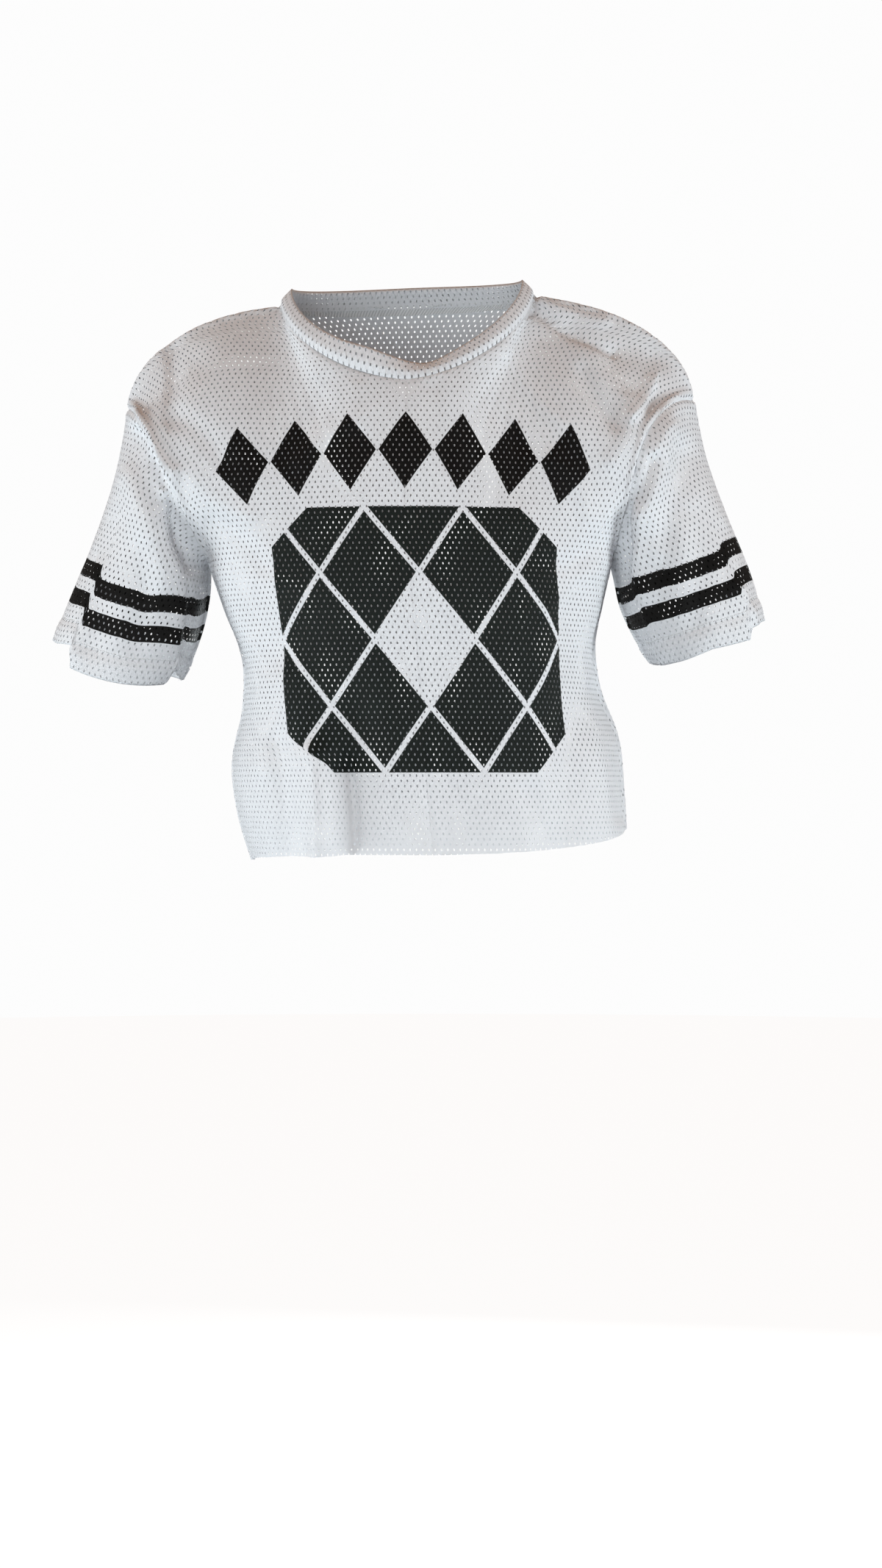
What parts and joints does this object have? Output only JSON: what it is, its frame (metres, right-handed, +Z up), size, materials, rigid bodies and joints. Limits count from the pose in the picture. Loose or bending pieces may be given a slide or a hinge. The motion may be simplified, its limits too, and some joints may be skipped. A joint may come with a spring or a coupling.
{
  "type": "mesh crop top",
  "caption": "Short boxy jersey top of white pinhole mesh, worn and hollow, with drop-shoulder elbow sleeves, a scoop neckband, striped cuffs and a raw-cut hem.",
  "frame": {"origin": "midway between the high points of the shoulders beside the neck, where the top hangs on its wearer", "axes": "+X to the wearer's left, +Y to the wearer's back, +Z up; the front faces -Y"},
  "size_m": [0.602, 0.2367, 0.4936],
  "materials": {
    "front": "matt polyester pinhole mesh",
    "back": "matt polyester pinhole mesh",
    "sleeve_right": "matt polyester pinhole mesh",
    "sleeve_left": "matt polyester pinhole mesh",
    "neckband": "matt polyester pinhole mesh"
  },
  "bodies": {
    "root": {"front": "front", "back": "back", "sleeve_right": "sleeve_right", "sleeve_left": "sleeve_left", "neckband": "neckband"}
  },
  "joints": []
}
